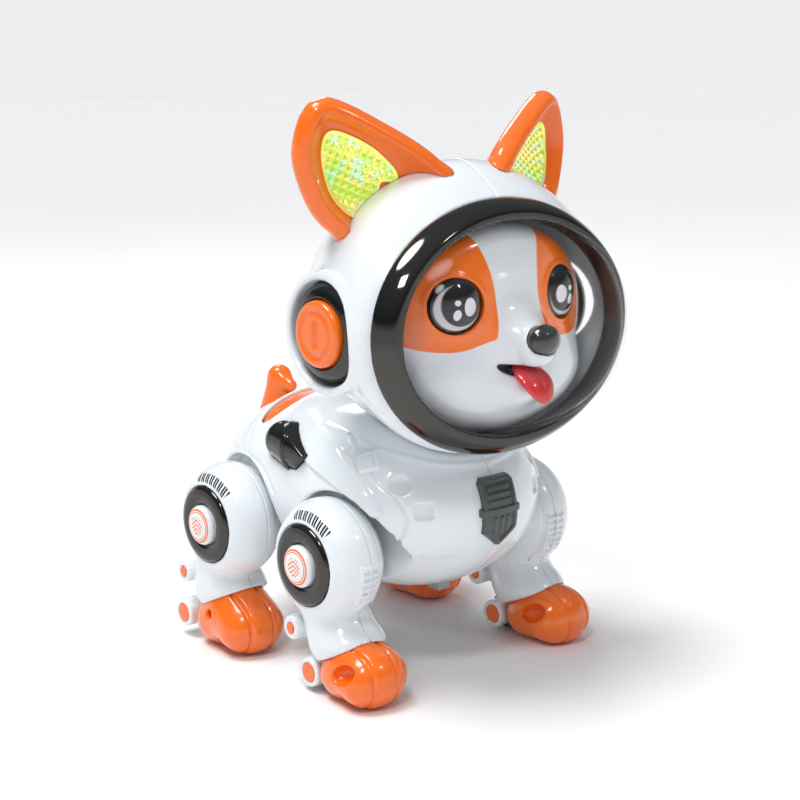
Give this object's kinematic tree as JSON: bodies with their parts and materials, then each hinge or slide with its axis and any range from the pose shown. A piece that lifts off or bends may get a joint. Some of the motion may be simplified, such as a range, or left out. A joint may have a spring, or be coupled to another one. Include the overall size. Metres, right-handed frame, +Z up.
{
  "type": "robot dog toy",
  "caption": "Walking robot puppy toy with a space helmet head, clear visor, cupped ears, round thighs and orange paws.",
  "frame": {"origin": "centre of the bounding box, on the floor under the paws", "axes": "+Z up, nose towards -Y, right side towards -X"},
  "size_m": [0.1324, 0.1778, 0.2202],
  "materials": {
    "white_casing": "gloss moulded white",
    "orange_casing": "gloss moulded orange",
    "grey_trim": "satin dark grey",
    "dark_chrome": "dark vacuum-plated",
    "steel": "zinc plated",
    "battery_sleeve": "printed sleeve",
    "board_green": "solder mask",
    "speaker_black": "paper cone",
    "motor_can": "satin can",
    "gear_ivory": "acetal",
    "clear_visor": "clear polished plastic",
    "face_white": "gloss white with orange patches",
    "eye_black": "gloss with printed eye",
    "nose_black": "gloss",
    "tongue_red": "gloss",
    "ear_lens_green": "translucent with diamond facets",
    "wheel_rubber": "satin"
  },
  "bodies": {
    "torso": {"body_right_shell": "white_casing", "body_left_shell": "white_casing", "back_panel": "orange_casing", "chest_badge": "grey_trim", "thruster_right": "dark_chrome", "thruster_left": "dark_chrome", "battery_cover": "white_casing", "case_screws": "steel", "batteries": "battery_sleeve", "circuit_board": "board_green", "speaker": "speaker_black", "motor": "motor_can", "gearbox_frame": "grey_trim", "hip_axles": "steel", "neck_post": "grey_trim"},
    "head": {"helmet_right_shell": "white_casing", "helmet_left_shell": "white_casing", "visor_ring": "dark_chrome", "visor": "clear_visor", "face_mask": "face_white", "eye_right": "eye_black", "eye_left": "eye_black", "nose": "nose_black", "tongue": "tongue_red", "ear_right": "orange_casing", "ear_left": "orange_casing", "ear_lens_right": "ear_lens_green", "ear_lens_left": "ear_lens_green", "pod_right": "dark_chrome", "pod_left": "dark_chrome"},
    "power_switch_body": {"power_switch": "grey_trim"},
    "motor_pinion_body": {"motor_pinion": "gear_ivory"},
    "reduction_gear_body": {"reduction_gear": "gear_ivory"},
    "crank_body": {"crank_axle": "gear_ivory"},
    "tail_body": {"tail": "orange_casing"},
    "button_right": {"ear_button_right": "orange_casing"},
    "button_left": {"ear_button_left": "orange_casing"},
    "leg_front_right": {"front_right_outer_shell": "white_casing", "front_right_inner_shell": "white_casing", "front_right_ring": "dark_chrome", "front_right_cap": "white_casing", "front_right_paw": "orange_casing"},
    "leg_front_left": {"front_left_outer_shell": "white_casing", "front_left_inner_shell": "white_casing", "front_left_ring": "dark_chrome", "front_left_cap": "white_casing", "front_left_paw": "orange_casing"},
    "leg_rear_right": {"rear_right_outer_shell": "white_casing", "rear_right_inner_shell": "white_casing", "rear_right_ring": "dark_chrome", "rear_right_cap": "white_casing", "rear_right_paw": "orange_casing"},
    "leg_rear_left": {"rear_left_outer_shell": "white_casing", "rear_left_inner_shell": "white_casing", "rear_left_ring": "dark_chrome", "rear_left_cap": "white_casing", "rear_left_paw": "orange_casing"},
    "wheel_right": {"front_right_wheel": "wheel_rubber"},
    "wheel_left": {"front_left_wheel": "wheel_rubber"}
  },
  "joints": [
    {"name": "front_right_swing", "type": "hinge", "parent": "torso", "child": "leg_front_right", "pos_m": [-0.048, -0.0157, 0.0505], "axis": [1, 0, 0], "range_deg": [-12, 12]},
    {"name": "front_left_swing", "type": "hinge", "parent": "torso", "child": "leg_front_left", "pos_m": [0.048, -0.0157, 0.0505], "axis": [1, 0, 0], "range_deg": [-12, 12]},
    {"name": "rear_right_swing", "type": "hinge", "parent": "torso", "child": "leg_rear_right", "pos_m": [-0.048, 0.0475, 0.053], "axis": [1, 0, 0], "range_deg": [-12, 12]},
    {"name": "rear_left_swing", "type": "hinge", "parent": "torso", "child": "leg_rear_left", "pos_m": [0.048, 0.0475, 0.053], "axis": [1, 0, 0], "range_deg": [-12, 12]},
    {"name": "wheel_right_spin", "type": "hinge", "parent": "leg_front_right", "child": "wheel_right", "pos_m": [-0.048, -0.0142, 0.0078], "axis": [1, 0, 0], "continuous": true},
    {"name": "wheel_left_spin", "type": "hinge", "parent": "leg_front_left", "child": "wheel_left", "pos_m": [0.048, -0.0142, 0.0078], "axis": [1, 0, 0], "continuous": true},
    {"name": "head_turn", "type": "hinge", "parent": "torso", "child": "head", "pos_m": [0, -0.037, 0.093], "axis": [0, 0, 1], "range_deg": [-12, 12]},
    {"name": "tail_wag", "type": "hinge", "parent": "torso", "child": "tail_body", "pos_m": [0, 0.08, 0.084], "axis": [0, 1, 0], "range_deg": [-10, 10]},
    {"name": "button_right_press", "type": "slide", "parent": "head", "child": "button_right", "axis": [1, 0, 0], "range_m": [0, 0.0015], "stiffness_N_per_m": 400},
    {"name": "button_left_press", "type": "slide", "parent": "head", "child": "button_left", "axis": [-1, 0, 0], "range_m": [0, 0.0015], "stiffness_N_per_m": 400},
    {"name": "power_switch_slide", "type": "slide", "parent": "torso", "child": "power_switch_body", "axis": [0, 1, 0], "range_m": [0, 0.004]},
    {"name": "motor_pinion_spin", "type": "hinge", "parent": "torso", "child": "motor_pinion_body", "pos_m": [0.018, 0.03, 0.072], "axis": [1, 0, 0], "continuous": true},
    {"name": "reduction_gear_spin", "type": "hinge", "parent": "torso", "child": "reduction_gear_body", "pos_m": [0.018, 0.01, 0.072], "axis": [1, 0, 0], "continuous": true},
    {"name": "crank_spin", "type": "hinge", "parent": "torso", "child": "crank_body", "pos_m": [0, -0.0084, 0.072], "axis": [1, 0, 0], "continuous": true}
  ],
  "couplings": [
    {"joint": "front_left_swing", "follows": "front_right_swing", "ratio": -1},
    {"joint": "rear_right_swing", "follows": "front_right_swing", "ratio": -1},
    {"joint": "rear_left_swing", "follows": "front_right_swing", "ratio": 1},
    {"joint": "reduction_gear_spin", "follows": "crank_spin", "ratio": -3.6},
    {"joint": "motor_pinion_spin", "follows": "crank_spin", "ratio": 14.4}
  ]
}
